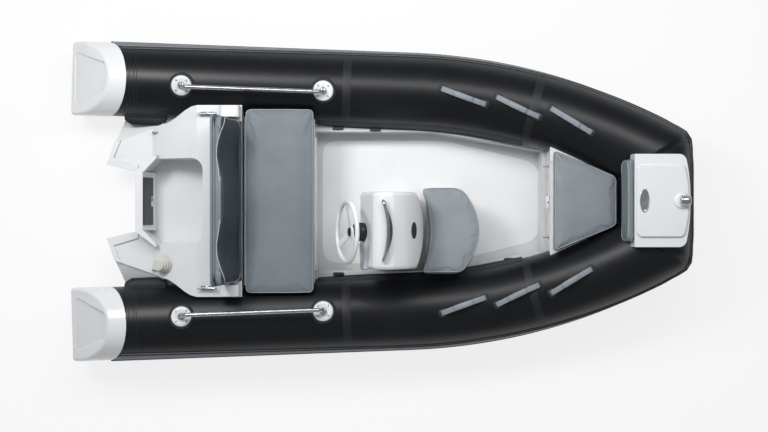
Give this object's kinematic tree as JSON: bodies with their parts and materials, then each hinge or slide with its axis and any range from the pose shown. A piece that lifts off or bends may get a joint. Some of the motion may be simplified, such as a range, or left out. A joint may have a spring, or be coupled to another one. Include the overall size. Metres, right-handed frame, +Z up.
{
  "type": "inflatable rib boat",
  "caption": "Small rigid-hull inflatable boat with a steering console, bench, bow seat, grab rails, carry handles and an open outboard well.",
  "frame": {"origin": "amidships on the centreline at the waterline", "axes": "+X forward to the bow, +Y to port, +Z up"},
  "size_m": [3.6674, 1.9036, 1.079],
  "materials": {
    "collar_fabric": "satin coated fabric",
    "white_moulding": "gelcoat",
    "grey_strake": "satin",
    "black_plastic": "matte",
    "black_rubber": "matte",
    "cushion_vinyl": "satin vinyl",
    "wheel_white": "gloss",
    "stainless": "polished",
    "smoked_screen": "tinted acrylic",
    "grey_plastic": "satin",
    "cream_rubber": "matte",
    "webbing": "woven"
  },
  "bodies": {
    "boat": {"tube_port": "collar_fabric", "tube_starboard": "collar_fabric", "tube_bow": "collar_fabric", "cap_port": "white_moulding", "cap_starboard": "white_moulding", "strake_port": "grey_strake", "strake_starboard": "grey_strake", "strake_bow": "grey_strake", "hull": "white_moulding", "deck_liner": "white_moulding", "aft_moulding": "white_moulding", "transom_pad": "black_plastic", "bench_box": "white_moulding", "backrest_cushion": "cushion_vinyl", "backrest_panel": "white_moulding", "console_body": "white_moulding", "console_rail": "stainless", "console_screen": "smoked_screen", "console_badge": "black_plastic", "dash_pod": "grey_plastic", "helm_boot": "black_plastic", "front_seat_box": "white_moulding", "bow_locker": "white_moulding", "bow_back_cushion": "cushion_vinyl", "bow_step": "white_moulding", "bow_step_pad": "white_moulding", "bow_light": "stainless", "rail_boots": "black_rubber", "rail_flanges": "stainless", "grab_rail_port": "stainless", "grab_rail_starboard": "stainless", "handles_port": "webbing", "handles_starboard": "webbing", "handle_patches": "black_rubber", "cleats": "stainless", "tow_eyes": "stainless", "cable_boot": "cream_rubber"},
    "wheel": {"steering_wheel": "wheel_white", "wheel_cap": "black_plastic"},
    "bench_seat": {"bench_lid": "white_moulding", "bench_cushion": "cushion_vinyl"},
    "front_seat": {"front_seat_lid": "white_moulding", "front_seat_cushion": "cushion_vinyl"},
    "bow_seat": {"bow_seat_lid": "white_moulding", "bow_seat_cushion": "cushion_vinyl"}
  },
  "joints": [
    {"name": "steering", "type": "hinge", "parent": "boat", "child": "wheel", "pos_m": [-0.165, -0.176, 0.73], "axis": [-0.9336, 0, 0.3584], "range_deg": [-540, 540]},
    {"name": "bench_hinge", "type": "hinge", "parent": "boat", "child": "bench_seat", "pos_m": [-0.358, 0, 0.39225], "axis": [0, 1, 0], "range_deg": [0, 60]},
    {"name": "front_seat_hinge", "type": "hinge", "parent": "boat", "child": "front_seat", "pos_m": [0.386, 0.068, 0.40025], "axis": [-1, 0, 0], "range_deg": [0, 75]},
    {"name": "bow_seat_hinge", "type": "hinge", "parent": "boat", "child": "bow_seat", "pos_m": [1.022, 0, 0.42525], "axis": [0, -1, 0], "range_deg": [0, 75]}
  ]
}
